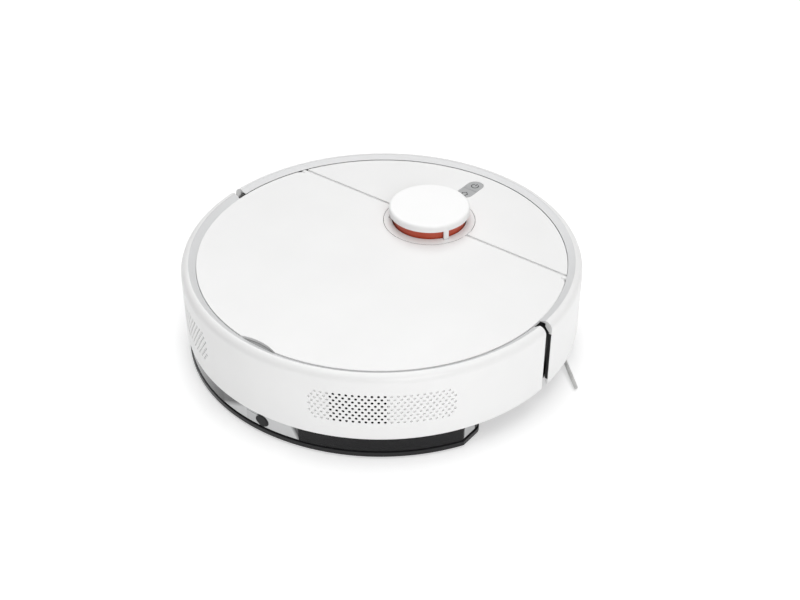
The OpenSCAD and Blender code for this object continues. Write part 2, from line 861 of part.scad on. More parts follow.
module wheel_arm() {
    color(dark_grey) difference() {
        union() {
            rod_x(arm_x, 0, wheel_r, 20, arm_w);
            rod_x(arm_x, arm_pivot_y, arm_pivot_z, 7, arm_w);
            block([arm_x, 0, 29], [arm_x + arm_w, arm_pivot_y, 45]);
            rod_x(arm_x + arm_w - eps, 0, wheel_r, axle_r, 16);
            rod_x(arm_x + arm_w - eps, arm_pivot_y, arm_pivot_z, 5, 24);
        }
        rod_x(arm_x - 1, arm_pivot_y, arm_pivot_z, pivot_r + fit, 40);
    }
}

module wheel_arm_right() {
    wheel_arm();
}

module wheel_arm_left() {
    mirror([1, 0, 0]) wheel_arm();
}

module wheel_hub() {
    x0 = wheel_x - tyre_w / 2;
    color(mid_grey) difference() {
        rod_x(x0, 0, wheel_r, hub_r, tyre_w);
        rod_x(x0 - 1, 0, wheel_r, axle_r + fit, tyre_w - 3);
        rod_x(x0 + tyre_w - 3, 0, wheel_r, 21, 10);
        for (a = [0:60:300]) translate([0, 0, wheel_r]) rotate([a, 0, 0])
            rod_x(x0 + 4, 14, 0, 4.5, tyre_w);
    }
}

module wheel_hub_right() {
    wheel_hub();
}

module wheel_hub_left() {
    mirror([1, 0, 0]) wheel_hub();
}

module wheel_tyre() {
    lugs = 24;
    x0 = wheel_x - tyre_w / 2;
    color(black) difference() {
        rod_x(x0, 0, wheel_r, wheel_r, tyre_w);
        rod_x(x0 - 1, 0, wheel_r, hub_r, tyre_w + 2);
        for (k = [0:lugs - 1]) translate([0, 0, wheel_r]) rotate([(k + 0.5) * 360 / lugs, 0, 0]) {
            translate([x0 - 1, wheel_r - 2.2, -1.4]) cube([tyre_w / 2, 5, 2.8]);
            rotate([180 / lugs, 0, 0]) translate([wheel_x + 1, wheel_r - 2.2, -1.4])
                cube([tyre_w / 2, 5, 2.8]);
        }
    }
}

module wheel_tyre_right() {
    wheel_tyre();
}

module wheel_tyre_left() {
    mirror([1, 0, 0]) wheel_tyre();
}

module arm_pivots() {
    color(steel) both_sides() rod_x(housing_x[0], arm_pivot_y, arm_pivot_z, pivot_r,
        housing_x[1] - housing_x[0]);
}

module arm_springs() {
    color(steel) both_sides() translate([arm_x + 5, 34, 45.4]) coil(4, 0.5, 25.4, 8);
}

module caster_socket() {
    top = 34;
    color(black) translate([0, caster_y, 0]) difference() {
        translate([0, 0, belly_z + floor_t]) cylinder(r = caster_cup_r + 2, h = top - belly_z - floor_t);
        translate([0, 0, -1]) cylinder(r = caster_cup_r, h = top - 1);
        cylinder(r = 3 + fit, h = 60);
    }
}

module caster_fork() {
    color(mid_grey) translate([0, caster_y, 0]) difference() {
        union() {
            translate([0, 0, 9]) cylinder(r = caster_cup_r - 1, h = 22.6);
            translate([0, 0, 30]) cylinder(r = 3, h = 7);
        }
        // wheel slot and axle bore
        block([-7, -22, 0], [7, caster_r - caster_trail + 1.6, 29]);
        rod_x(-25, -caster_trail, caster_r, 1.5, 50);
    }
}

module caster_wheel() {
    color(black) translate([0, caster_y, 0]) difference() {
        rod_x(-6, -caster_trail, caster_r, caster_r, 12);
        rod_x(-7, -caster_trail, caster_r, 1.5 + fit, 14);
        for (x = [-3, 3]) translate([x - 0.4, -caster_trail, caster_r]) rotate([0, 90, 0])
            tube(caster_r + 1, caster_r - 0.6, 0.8);
    }
}

module caster_axle() {
    color(steel) rod_x(-14, caster_y - caster_trail, caster_r, 1.5, 28);
}

// plan of the mop module, shrunk by a margin
module mop_outline(r, half, front) {
    corner = 10;
    intersection() {
        circle(r, $fn = 180);
        union() {
            translate([-half, -far]) square([2 * half, far - front - corner]);
            translate([-half + corner, -far]) square([2 * half - 2 * corner, far - front]);
            for (x = [-half + corner, half - corner]) translate([x, -front - corner]) circle(corner);
        }
    }
}

module water_tank() {
    color(smoke) difference() {
        translate([0, 0, tank_z[0]]) linear_extrude(tank_z[1] - tank_z[0])
            mop_outline(tank_r, tank_half, mop_front);
        difference() {
            translate([0, 0, tank_z[0] + tank_t]) linear_extrude(tank_z[1] - tank_z[0] - 2 * tank_t)
                mop_outline(tank_r - tank_t, tank_half - tank_t, mop_front + tank_t);
            block([-latch_half - 3, -far, 0], [latch_half + 3, -156, far]);
        }
        block([-latch_half - 0.5, -far, 8.4], [latch_half + 0.5, -159, 18.6]);
        translate([-70, -128, tank_z[0] + 4]) cylinder(r = 8, h = far);
    }
}

module tank_plug() {
    color(black) {
        translate([-70, -128, tank_z[1] - tank_t]) cylinder(r = 8, h = tank_t);
    }
}

module mop_latch() {
    color(black) intersection() {
        block([-latch_half, -tank_r - 5, 9], [latch_half, -161.5, 18]);
        cylinder(r = tank_r + 0.6, h = 40, $fn = 180);
    }
}

module mop_plate() {
    color(black) translate([0, 0, plate_low]) linear_extrude(tank_z[0] - plate_low)
        mop_outline(tank_r + 1, tank_half + 1, mop_front);
}

module mop_cloth() {
    color([0.25, 0.26, 0.28]) linear_extrude(plate_low) mop_outline(tank_r + 0.4, tank_half + 0.4, mop_front + 1);
}

module charging_contacts() {
    color(steel) both_sides() block([26.3, 139.1, belly_z - 0.4], [37.7, 145.5, belly_z + 3]);
}

module cliff_sensors() {
    color(black) cliff_places() translate([-7, -3, belly_z + 0.6]) cube([14, 6, 6]);
}

module screws() {
    color(steel) for (p = post_pos) translate([p[0], p[1], screw_floor(p) - 1.7]) {
        cylinder(r = screw_r, h = 12);
        difference() {
            mirror([0, 0, 1]) cylinder(r = 2.8, h = 0.6);
            translate([-2, -0.4, -1]) cube([4, 0.8, 0.8]);
            translate([-0.4, -2, -1]) cube([0.8, 4, 0.8]);
        }
    }
}

base_tray();
side_wall();
mid_deck();
front_cover();
lid();
hinge_pins();
bumper();
bumper_window();
bumper_springs();
bumper_switches();
turret_ring();
turret_base();
turret_cap();
laser_head();
laser_bearing();
laser_motor();
laser_pulley();
laser_belt();
power_button();
home_button();
button_board();
main_board();
battery_pack();
battery_cover();
dust_bin();
bin_filter();
fan_housing();
fan_impeller();
fan_motor();
brush_housing();
brush_cover();
main_roller();
roller_bearings();
brush_motor();
brush_pulley();
brush_belt();
side_brush_hub();
side_brush_tufts();
side_brush_motor();
wheel_housings();
wheel_arm_right();
wheel_arm_left();
wheel_hub_right();
wheel_hub_left();
wheel_tyre_right();
wheel_tyre_left();
arm_pivots();
arm_springs();
caster_socket();
caster_fork();
caster_wheel();
caster_axle();
water_tank();
tank_plug();
mop_latch();
mop_plate();
mop_cloth();
charging_contacts();
cliff_sensors();
screws();
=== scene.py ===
"""Looks of the robot vacuum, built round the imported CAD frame.

Camera, lights and floor are in metres. Pieces are drawn in mm and scaled as they become meshes.
"""
import json
import math

import bpy
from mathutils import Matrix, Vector


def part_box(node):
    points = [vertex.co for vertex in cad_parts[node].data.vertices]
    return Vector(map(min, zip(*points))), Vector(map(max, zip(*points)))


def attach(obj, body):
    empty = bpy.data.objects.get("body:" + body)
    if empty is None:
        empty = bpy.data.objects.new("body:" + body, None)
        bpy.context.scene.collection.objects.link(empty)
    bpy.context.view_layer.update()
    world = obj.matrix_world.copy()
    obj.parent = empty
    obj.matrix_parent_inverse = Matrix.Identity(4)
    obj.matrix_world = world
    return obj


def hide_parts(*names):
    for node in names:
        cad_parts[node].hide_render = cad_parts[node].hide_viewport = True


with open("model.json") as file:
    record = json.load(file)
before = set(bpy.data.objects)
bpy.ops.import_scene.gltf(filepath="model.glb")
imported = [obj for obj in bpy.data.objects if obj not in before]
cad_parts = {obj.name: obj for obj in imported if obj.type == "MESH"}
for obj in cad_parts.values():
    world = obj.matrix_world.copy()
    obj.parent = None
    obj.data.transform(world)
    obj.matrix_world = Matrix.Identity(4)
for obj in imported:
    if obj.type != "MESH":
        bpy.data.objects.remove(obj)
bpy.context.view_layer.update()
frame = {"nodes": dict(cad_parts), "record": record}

MM = 0.001
scene = bpy.context.scene
nodes = frame["nodes"]

# ---------------------------------------------------------------- camera, light and floor

CAMERA_PLACE = (0.5840, -0.73905, 0.72166)
CAMERA_AIM = (0.02515, -0.00705, 0.04623)
SKY_STRENGTH = 0.27
FLOOR_HALF = 12.0
FLOOR_DROP = 0.0004


def facing(place, aim):
    """The turn that points a camera or light at place towards aim."""
    return (Vector(aim) - Vector(place)).to_track_quat("-Z", "Y").to_euler()


def area_light(name, place, aim, size, power):
    """A soft square light at place, turned towards aim, in metres and watts."""
    data = bpy.data.lights.new(name, "AREA")
    data.shape = "SQUARE"
    data.size = size
    data.energy = power
    light = bpy.data.objects.new(name, data)
    scene.collection.objects.link(light)
    light.location = place
    light.rotation_euler = facing(place, aim)


def floor():
    """A plain pale floor, clear on its underside so that a view from below shows the robot's belly."""
    mesh = bpy.data.meshes.new("floor")
    corners = [(x * FLOOR_HALF, y * FLOOR_HALF, 0) for x, y in ((-1, -1), (1, -1), (1, 1), (-1, 1))]
    mesh.from_pydata(corners, [], [(0, 1, 2, 3)])
    piece = bpy.data.objects.new("floor", mesh)
    scene.collection.objects.link(piece)
    piece.location.z = -FLOOR_DROP
    mat = bpy.data.materials.new("floor_pale")
    mat.use_nodes = True
    tree = mat.node_tree
    bsdf = tree.nodes["Principled BSDF"]
    bsdf.inputs["Base Color"].default_value = (0.80, 0.80, 0.80, 1.0)
    bsdf.inputs["Roughness"].default_value = 0.9
    bsdf.inputs["Specular IOR Level"].default_value = 0.0
    bsdf.inputs["Emission Color"].default_value = (1.0, 1.0, 1.0, 1.0)
    bsdf.inputs["Emission Strength"].default_value = 0.40
    clear = tree.nodes.new("ShaderNodeBsdfTransparent")
    mix = tree.nodes.new("ShaderNodeMixShader")
    side = tree.nodes.new("ShaderNodeNewGeometry")
    out = tree.nodes["Material Output"]
    tree.links.new(side.outputs["Backfacing"], mix.inputs[0])
    tree.links.new(bsdf.outputs[0], mix.inputs[1])
    tree.links.new(clear.outputs[0], mix.inputs[2])
    tree.links.new(mix.outputs[0], out.inputs["Surface"])
    mesh.materials.append(mat)


camera_data = bpy.data.cameras.new("camera")
camera = bpy.data.objects.new("camera", camera_data)
scene.collection.objects.link(camera)
camera.location = CAMERA_PLACE
camera.rotation_euler = facing(CAMERA_PLACE, CAMERA_AIM)
camera_data.sensor_width = 36.0
camera_data.lens = 58.43
camera_data.clip_start = 0.02
camera_data.clip_end = 50.0
scene.camera = camera

scene.view_settings.view_transform = "Standard"
scene.view_settings.look = "None"

world = bpy.data.worlds.new("studio")
world.use_nodes = True
sky = world.node_tree.nodes["Background"]
sky.inputs["Color"].default_value = (1.0, 1.0, 1.0, 1.0)
sky.inputs["Strength"].default_value = SKY_STRENGTH
scene.world = world

area_light("key", place=(1.35, -0.95, 1.0), aim=(0.0, 0.0, 0.05), size=0.9, power=10.5)
area_light("top", place=(0.15, 0.1, 2.2), aim=(0.0, 0.0, 0.0), size=2.4, power=27.0)
area_light("rear", place=(-0.9, 0.9, 1.6), aim=(0.0, 0.0, 0.05), size=1.2, power=10.5)
floor()

# ---------------------------------------------------------------- materials


class Finish:
    """A procedural Principled material that varies in the part's own coordinates."""

    def __init__(self, name, rgb, rough, metal=0.0, spec=0.5, coat=0.0, alpha=1.0, sheen=0.0):
        self.mat = bpy.data.materials.new(name)
        self.mat.use_nodes = True
        self.tree = self.mat.node_tree
        self.bsdf = self.tree.nodes["Principled BSDF"]
        self.rgb = rgb
        self.rough = rough
        setting = self.bsdf.inputs
        setting["Base Color"].default_value = (*rgb, 1.0)
        setting["Roughness"].default_value = rough
        setting["Metallic"].default_value = metal
        setting["Specular IOR Level"].default_value = spec
        setting["Coat Weight"].default_value = coat
        setting["Coat Roughness"].default_value = 0.04
        setting["Sheen Weight"].default_value = sheen
        setting["Sheen Roughness"].default_value = 0.4
        setting["Alpha"].default_value = alpha
        self.coords = self.tree.nodes.new("ShaderNodeTexCoord").outputs["Object"]

    def add(self, kind, **settings):
        node = self.tree.nodes.new(kind)
        for key, value in settings.items():
            setattr(node, key, value)
        return node

    def link(self, a, b):
        self.tree.links.new(a, b)

    def stretched(self, scale):
        """Object coordinates with each axis scaled."""
        node = self.add("ShaderNodeMapping")
        node.inputs["Scale"].default_value = scale
        self.link(self.coords, node.inputs["Vector"])
        return node.outputs[0]

    def noise(self, size_mm, detail=2.0, stretch=None):
        node = self.add("ShaderNodeTexNoise")
        node.inputs["Scale"].default_value = 1000.0 / size_mm
        node.inputs["Detail"].default_value = detail
        self.link(self.stretched(stretch) if stretch else self.coords, node.inputs["Vector"])
        return node.outputs["Fac"]

    def remap(self, value, from_low, from_high, to_low=0.0, to_high=1.0):
        """Value moved from one range to another, and held at its ends."""
        node = self.add("ShaderNodeMapRange")
        node.inputs["From Min"].default_value = from_low
        node.inputs["From Max"].default_value = from_high
        node.inputs["To Min"].default_value = to_low
        node.inputs["To Max"].default_value = to_high
        self.link(value, node.inputs["Value"])
        return node.outputs[0]

    def mottle(self, size_mm, amount):
        """Slow drift of the colour, lighter and darker by amount."""
        ramp = self.add("ShaderNodeValToRGB")
        low, high = ramp.color_ramp.elements
        low.position, high.position = 0.3, 0.7
        low.color = (*[max(0.0, c * (1 - amount)) for c in self.rgb], 1.0)
        high.color = (*[min(1.0, c * (1 + amount)) for c in self.rgb], 1.0)
        self.link(self.noise(size_mm, 3.0), ramp.inputs[0])
        self.link(ramp.outputs[0], self.bsdf.inputs["Base Color"])
        return self

    def vary_rough(self, size_mm, amount):
        """Slow drift of the roughness, up and down by amount."""
        low, high = max(0.0, self.rough - amount), self.rough + amount
        drift = self.remap(self.noise(size_mm, 3.0), 0.3, 0.7, low, high)
        self.link(drift, self.bsdf.inputs["Roughness"])
        return self

    def bump(self, height, strength, depth_mm):
        node = self.add("ShaderNodeBump")
        node.inputs["Strength"].default_value = strength
        node.inputs["Distance"].default_value = depth_mm * MM
        self.link(height, node.inputs["Height"])
        self.link(node.outputs[0], self.bsdf.inputs["Normal"])
        return self

    def grain(self, size_mm, strength, depth_mm, stretch=None):
        """Moulded or ground micro texture."""
        return self.bump(self.noise(size_mm, 2.0, stretch), strength, depth_mm)

    def tint(self, mask, rgb):
        """Another colour where mask is 1."""
        mix = self.add("ShaderNodeMix", data_type="RGBA")
        source = self.bsdf.inputs["Base Color"]
        self.link(source.links[0].from_socket, mix.inputs[6])
        mix.inputs[7].default_value = (*rgb, 1.0)
        self.link(mask, mix.inputs[0])
        self.link(mix.outputs[2], source)
        return self

    def calc(self, operation, a, b=None):
        """One step of arithmetic on sockets or plain numbers."""
        node = self.add("ShaderNodeMath", operation=operation)
        for index, value in enumerate((a, b)):
            if isinstance(value, (int, float)):
                node.inputs[index].default_value = value
            elif value is not None:
                self.link(value, node.inputs[index])
        return node.outputs[0]

    def both(self, a, b):
        """1 where both masks are 1."""
        return self.calc("MULTIPLY", a, b)

    def within(self, value, centre, half):
        """1 where value is less than half away from centre."""
        return self.calc("LESS_THAN", self.calc("ABSOLUTE", self.calc("SUBTRACT", value, centre)), half)

    def axis(self, index):
        node = self.add("ShaderNodeSeparateXYZ")
        self.link(self.coords, node.inputs[0])
        return node.outputs[index]

    def azimuth(self):
        """Angle round the robot's axis, in radians, 0 on the right and -pi/2 at the rear."""
        return self.calc("ARCTAN2", self.axis(1), self.axis(0))

    def radius(self):
        """Distance from the robot's axis."""
        flat = self.add("ShaderNodeVectorMath", operation="MULTIPLY")
        flat.inputs[1].default_value = (1.0, 1.0, 0.0)
        self.link(self.coords, flat.inputs[0])
        length = self.add("ShaderNodeVectorMath", operation="LENGTH")
        self.link(flat.outputs[0], length.inputs[0])
        return length.outputs["Value"]


BAND_GREY = (0.70, 0.705, 0.71)
BAND_OUTER_R = 168.45
BAND_LOW_Z = 79.0
# painted shade inside the vent holes: near black in the open vents, grey in the blind ones at the left
VENT_SHADE_DARK = (0.010, 0.010, 0.011)
VENT_SHADE_GREY = (0.50, 0.505, 0.51)
HOLE_MOUTH_R = 174.6
VENT_MID_Z = 52.6
VENT_HALF_Z = 17.0
OPEN_VENTS = (-58.4, 7.8)
LEFT_VENTS = (-127.9, 19.8)
# painted light: grey on the black deck in the scoop under the lid's finger notch
SCOOP_PAINTED_LIGHT = (0.34, 0.343, 0.346)
SCOOP_FRONT_Y = -154.0
SCOOP_HALF_X = 24.0


def white_shell(name):
    made = Finish(name, (0.86, 0.86, 0.857), 0.34).mottle(60, 0.012).vary_rough(9, 0.04)
    return made.grain(0.45, 0.10, 0.02)


def black_moulding(name):
    made = Finish(name, (0.016, 0.016, 0.017), 0.5).mottle(12, 0.1).vary_rough(6, 0.08)
    return made.grain(0.6, 0.35, 0.06)


def rim_shell():
    """White shell with a light-grey band beside the lid, and with painted shade inside the vent holes: dark
    in the open ones, grey in the blind ones at the left.

    The open vents and the blind ones at the left are each a centre and a half width in degrees.
    """
    made = white_shell("shell_white_rim")
    inside = made.calc("LESS_THAN", made.radius(), BAND_OUTER_R * MM)
    high = made.calc("GREATER_THAN", made.axis(2), BAND_LOW_Z * MM)
    made.tint(made.both(inside, high), BAND_GREY)
    az = made.azimuth()
    level = made.within(made.axis(2), VENT_MID_Z * MM, VENT_HALF_Z * MM)
    sunk = made.both(made.calc("LESS_THAN", made.radius(), HOLE_MOUTH_R * MM), level)
    # painted shade on the walls inside each group of vents
    for (centre, half), rgb in ((OPEN_VENTS, VENT_SHADE_DARK), (LEFT_VENTS, VENT_SHADE_GREY)):
        near = made.within(az, math.radians(centre), math.radians(half))
        made.tint(made.both(sunk, near), rgb)
    return made


def deck_black():
    """Black deck, with painted light in grey on the scoop under the lid's finger notch."""
    made = black_moulding("deck_black")
    rear = made.calc("LESS_THAN", made.axis(1), SCOOP_FRONT_Y * MM)
    middle = made.within(made.axis(0), 0.0, SCOOP_HALF_X * MM)
    return made.tint(made.both(rear, middle), SCOOP_PAINTED_LIGHT)


shell = white_shell("shell_white_satin")
cap_white = Finish("cap_white_satin", (0.95, 0.95, 0.948), 0.34)
cap_white.mottle(40, 0.008).vary_rough(9, 0.04).grain(0.45, 0.08, 0.02)
rim_grey = Finish("rim_grey_satin", (0.66, 0.665, 0.67), 0.38)
rim_grey.mottle(20, 0.015).vary_rough(6, 0.04).grain(0.4, 0.1, 0.02)
button_grey = Finish("button_grey_satin", (0.40, 0.405, 0.41), 0.4)
button_grey.mottle(8, 0.02).vary_rough(4, 0.05).grain(0.3, 0.15, 0.02)
chassis_dark = Finish("chassis_textured", (0.045, 0.045, 0.048), 0.55)
chassis_dark.mottle(15, 0.08).vary_rough(5, 0.08).grain(0.7, 0.5, 0.08)
orange = Finish("laser_head_red", (0.55, 0.072, 0.028), 0.30, coat=0.2)
orange.mottle(25, 0.02).vary_rough(8, 0.03).grain(0.4, 0.05, 0.01)
brush_red = Finish("brush_rubber", (0.42, 0.07, 0.035), 0.6)
brush_red.mottle(6, 0.08).vary_rough(3, 0.08).grain(0.5, 0.4, 0.06)
smoke = Finish("tank_smoke", (0.013, 0.013, 0.014), 0.10, spec=0.18, alpha=0.93)
smoke.mottle(30, 0.1).vary_rough(14, 0.03)
bin_clear = Finish("bin_smoke", (0.10, 0.10, 0.105), 0.10, alpha=0.62)
bin_clear.mottle(20, 0.08).vary_rough(10, 0.04)
gloss_black = Finish("gloss_black", (0.008, 0.008, 0.009), 0.06, coat=0.5)
gloss_black.mottle(20, 0.2).vary_rough(12, 0.02)
steel = Finish("steel_ground", (0.56, 0.57, 0.58), 0.3, metal=1.0)
steel.mottle(5, 0.06).vary_rough(2, 0.1).grain(0.15, 0.25, 0.01, stretch=(1, 1, 0.08))
tyre = Finish("tyre_rubber", (0.022, 0.022, 0.023), 0.75)
tyre.mottle(9, 0.15).vary_rough(3, 0.08).grain(0.5, 0.6, 0.08)
part_grey = Finish("part_grey_satin", (0.30, 0.305, 0.31), 0.45)
part_grey.mottle(9, 0.05).vary_rough(4, 0.06).grain(0.5, 0.3, 0.04)
board = Finish("board_solder_mask", (0.012, 0.10, 0.045), 0.35)
board.mottle(3, 0.25).vary_rough(2, 0.08).grain(0.8, 0.3, 0.03)
cell = Finish("cell_wrap", (0.03, 0.09, 0.26), 0.32)
cell.mottle(18, 0.08).vary_rough(6, 0.06).grain(2.0, 0.25, 0.08)
filter_paper = Finish("filter_paper", (0.74, 0.74, 0.69), 0.9)
filter_paper.mottle(2, 0.05).grain(0.25, 0.6, 0.05)
mop_fabric = Finish("mop_plain", (0.055, 0.056, 0.060), 0.95, sheen=0.5).mottle(2.5, 0.18)
bristle = Finish("bristle_nylon", (0.74, 0.74, 0.73), 0.42).mottle(2, 0.06)
belt = Finish("belt_rubber", (0.018, 0.018, 0.018), 0.7).mottle(3, 0.15).grain(0.4, 0.4, 0.05)

FINISHES = {
    "shell_white": shell, "rim_grey": rim_grey, "button_grey": button_grey, "chassis_dark": chassis_dark,
    "frame_black": black_moulding("frame_black"), "orange_accent": orange, "brush_red": brush_red,
    "smoke_clear": smoke, "bin_clear": bin_clear, "gloss_black": gloss_black, "steel": steel,
    "tyre_black": tyre, "part_grey": part_grey, "board_green": board, "cell_blue": cell,
    "filter_white": filter_paper, "mop_grey": mop_fabric, "bristle_white": bristle, "belt_black": belt,
}


def dress(node, finish):
    """Gives a CAD node another finish."""
    nodes[node].data.materials[0] = finish.mat


for name, node in nodes.items():
    dress(name, FINISHES[node.data.materials[0].name.split(".")[0]])
shell_rim = rim_shell()
dress("side_wall", shell_rim)
dress("bumper", shell_rim)
dress("turret_ring", shell)
dress("turret_cap", cap_white)
dress("mid_deck", deck_black())

# ---------------------------------------------------------------- mesh helpers

BEVEL_SEGMENTS = 2
BEVEL_ANGLE = 35.0

body_of = {node: body for body, members in frame["record"]["behaviour"]["bodies"].items() for node in members}


def mm_box(node):
    """Low and high corner of a CAD node, in mm."""
    low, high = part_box(node)
    return [c / MM for c in low], [c / MM for c in high]


def full_turn(steps):
    """The angles of equal steps round a circle, in radians."""
    return [2 * math.pi * k / steps for k in range(steps)]


def arc_points(r, az0, az1, steps, centre=(0.0, 0.0)):
    """Points along an arc, from az0 to az1 in degrees."""
    angles = [math.radians(az0 + (az1 - az0) * k / steps) for k in range(steps + 1)]
    return [(centre[0] + r * math.cos(a), centre[1] + r * math.sin(a)) for a in angles]


def border_bars(low, high, width, short_u, short_v):
    """Four bars along the inside of a rectangle, as pairs of corners.

    The two along u stop short_u before the rectangle's ends, and the two along v short_v before them.
    """
    (u0, v0), (u1, v1) = low, high
    return [((u0 + short_u, v0), (u1 - short_u, v0 + width)),
            ((u0 + short_u, v1 - width), (u1 - short_u, v1)),
            ((u0, v0 + short_v), (u0 + width, v1 - short_v)),
            ((u1 - width, v0 + short_v), (u1, v1 - short_v))]


def wobble(i, j=0):
    """A fixed pseudo-random number from -1 to 1."""
    return 2.0 * ((math.sin(12.9898 * (i + 1) + 78.233 * (j + 1)) * 43758.5453) % 1.0) - 1.0


class Shape:
    """Gathers solids, in mm, that become one piece."""

    def __init__(self):
        self.verts = []
        self.faces = []

    def skin(self, rings, closed=False, flip=False):
        """Walls through rings of equal count, capped at both ends, or joined in a loop if closed.

        Rings run counter-clockwise when seen from beyond the last one, or clockwise with flip.
        """
        base = len(self.verts)
        n = len(rings[0])
        faces = []
        for k in range(len(rings) if closed else len(rings) - 1):
            a, b = k * n, (k + 1) % len(rings) * n
            for i in range(n):
                j = (i + 1) % n
                faces.append([a + i, b + i, b + j, a + j] if flip else [a + i, a + j, b + j, b + i])
        if not closed:
            first = list(range(n))
            last = [(len(rings) - 1) * n + i for i in range(n)]
            faces += [first, last[::-1]] if flip else [first[::-1], last]
        self.verts += [tuple(v) for ring in rings for v in ring]
        self.faces += [[base + i for i in face] for face in faces]

    def prism(self, outline, z0, z1):
        """An upright prism on a counter-clockwise outline."""
        self.skin([[(x, y, z) for x, y in outline] for z in (z0, z1)])

    def box(self, low, high):
        (x0, y0, z0), (x1, y1, z1) = low, high
        self.prism([(x0, y0), (x1, y0), (x1, y1), (x0, y1)], z0, z1)

    def revolve(self, profile, steps, centre=(0.0, 0.0), az0=0.0, az1=360.0):
        """A counter-clockwise (r, z) profile turned round a vertical axis, from az0 to az1 in degrees."""
        full = az1 - az0 > 359.999
        rings = []
        for k in range(steps if full else steps + 1):
            a = math.radians(az0 + (az1 - az0) * k / steps)
            rings.append([(centre[0] + r * math.cos(a), centre[1] + r * math.sin(a), z) for r, z in profile])
        self.skin(rings, closed=full, flip=True)

    def hoop(self, radii, heights, az0, az1, steps, centre=(0.0, 0.0)):
        """Part of a hoop with a rectangular section."""
        (r0, r1), (z0, z1) = radii, heights
        self.revolve([(r0, z0), (r1, z0), (r1, z1), (r0, z1)], steps, centre, az0, az1)

    def cylinder_x(self, x0, x1, r, z, sides=40):
        """A closed cylinder along X, at y = 0 and height z."""
        self.skin([[(x, r * math.cos(a), z + r * math.sin(a)) for a in full_turn(sides)] for x in (x0, x1)])

    def tube(self, points, radii, sides):
        """A round rod along points, with one radius for each point."""
        pts = [Vector(p) for p in points]
        rings = []
        for i, p in enumerate(pts):
            along = (pts[min(i + 1, len(pts) - 1)] - pts[max(i - 1, 0)]).normalized()
            side = along.cross(Vector((0.0, 0.0, 1.0)))
            if side.length < 1e-4:
                side = along.cross(Vector((1.0, 0.0, 0.0)))
            side.normalize()
            top = side.cross(along).normalized()
            rings.append([p + radii[i] * (math.cos(a) * side + math.sin(a) * top) for a in full_turn(sides)])
        self.skin(rings)

    def make(self, name, finish, node, smooth=False, bevel=0.0, replaces=()):
        """The finished piece: node is the CAD node whose body it rides on, bevel in mm."""
        mesh = bpy.data.meshes.new(name)
        mesh.from_pydata([[c * MM for c in v] for v in self.verts], [], self.faces)
        mesh.validate()
        mesh.update()
        mesh.materials.append(finish.mat)
        if smooth or bevel:
            mesh.shade_smooth()
        made = bpy.data.objects.new(name, mesh)
        scene.collection.objects.link(made)
        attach(made, body_of[node])
        if replaces:
            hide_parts(*replaces)
        if bevel:
            edges = made.modifiers.new("edges", "BEVEL")
            edges.width = bevel * MM
            edges.segments = BEVEL_SEGMENTS
            edges.limit_method = "ANGLE"
            edges.angle_limit = math.radians(BEVEL_ANGLE)
            edges.harden_normals = True
        return made


# ---------------------------------------------------------------- button icons

INK = 0.05
icon_dark = Finish("icon_print", (0.045, 0.045, 0.048), 0.5).mottle(2, 0.1)
home_low, home_high = mm_box("home_button")
ink_z0 = home_high[2]
ink_z1 = ink_z0 + INK

power_y = mm_box("power_button")[1][1] - 9.0
power = Shape()
power.hoop((2.8, 3.8), (ink_z0, ink_z1), 90 + 32, 90 + 328, 40, (0.0, power_y))
power.box((-0.5, power_y + 0.6, ink_z0), (0.5, power_y + 4.2, ink_z1))
power.make("power_icon", icon_dark, "power_button")

home_y = home_low[1] + 8.0
home = Shape()
home.prism([(-3.6, home_y + 0.1), (-3.1, home_y - 0.5), (0.0, home_y + 2.4), (3.1, home_y - 0.5),
            (3.6, home_y + 0.1), (0.0, home_y + 3.5)], ink_z0, ink_z1)
for x0, x1, y0, y1 in ((-2.6, -1.8, -3.2, 0.4), (1.8, 2.6, -3.2, 0.4), (-2.6, 2.6, -3.9, -3.1)):
    home.box((x0, home_y + y0, ink_z0), (x1, home_y + y1, ink_z1))
home.make("home_icon", icon_dark, "home_button")

# ---------------------------------------------------------------- dark strips in the gaps of the shell

wall_r = mm_box("bumper")[1][0]
# a dark strip in each side slot between bumper and wall
for side, label in ((1, "right"), (-1, "left")):
    x0, x1 = sorted((side * (wall_r - 2.9), side * (wall_r - 0.25)))
    strip = Shape()
    strip.box((x0, -0.35, 27.0), (x1, 0.15, 73.6))
    strip.make("slot_dark_strip_" + label, belt, "bumper", bevel=0.12)

# both arcs stop short of the lid's hinge line
ring_low, ring_high = mm_box("turret_ring")
ring_r = ring_high[0]
ring_centre = (0.0, (ring_low[1] + ring_high[1]) / 2)
lid_top = mm_box("lid")[1][2]
# a dark strip that paints the shade in the groove round the turret ring
ring_groove_shade = Shape()
for az0 in (11, 191):
    ring_groove_shade.hoop((ring_r - 0.1, ring_r + 0.28), (lid_top - 1.6, lid_top - 0.15), az0, az0 + 158, 64,
                   ring_centre)
ring_groove_shade.make("ring_groove_shade", belt, "turret_ring")

# ---------------------------------------------------------------- mop module

WINDOW_AZ = (-102.0, -75.2)
TANK_LEFT_AZ = -149.4
CORNER_R = 10.0
CORNER_BACK = 6.0
PAD_RINGS = ((14.0, 0.05), (11.0, 0.12), (9.4, 0.5), (8.6, 0.75), (7.8, 0.5), (6.4, 0.10), (4.0, 0.02),
             (2.0, 0.08), (0.9, 0.35), (0.2, 0.9), (0.1, 1.4), (0.5, 1.9), (1.4, 2.15), (4.0, 2.17))
GLASS = 0.16
BOSS_AZ = -86.9
BOSS_WIDE = 1.2

tank_low, tank_high = mm_box("water_tank")
tank_z0, tank_z1 = tank_low[2], tank_high[2]
tank_r, tank_half, mop_front = -tank_low[1], tank_high[0], -tank_high[1]
glass_z0, glass_z1 = tank_z0 + 1.6, tank_z1 - 0.6
face_r = tank_r + 0.02


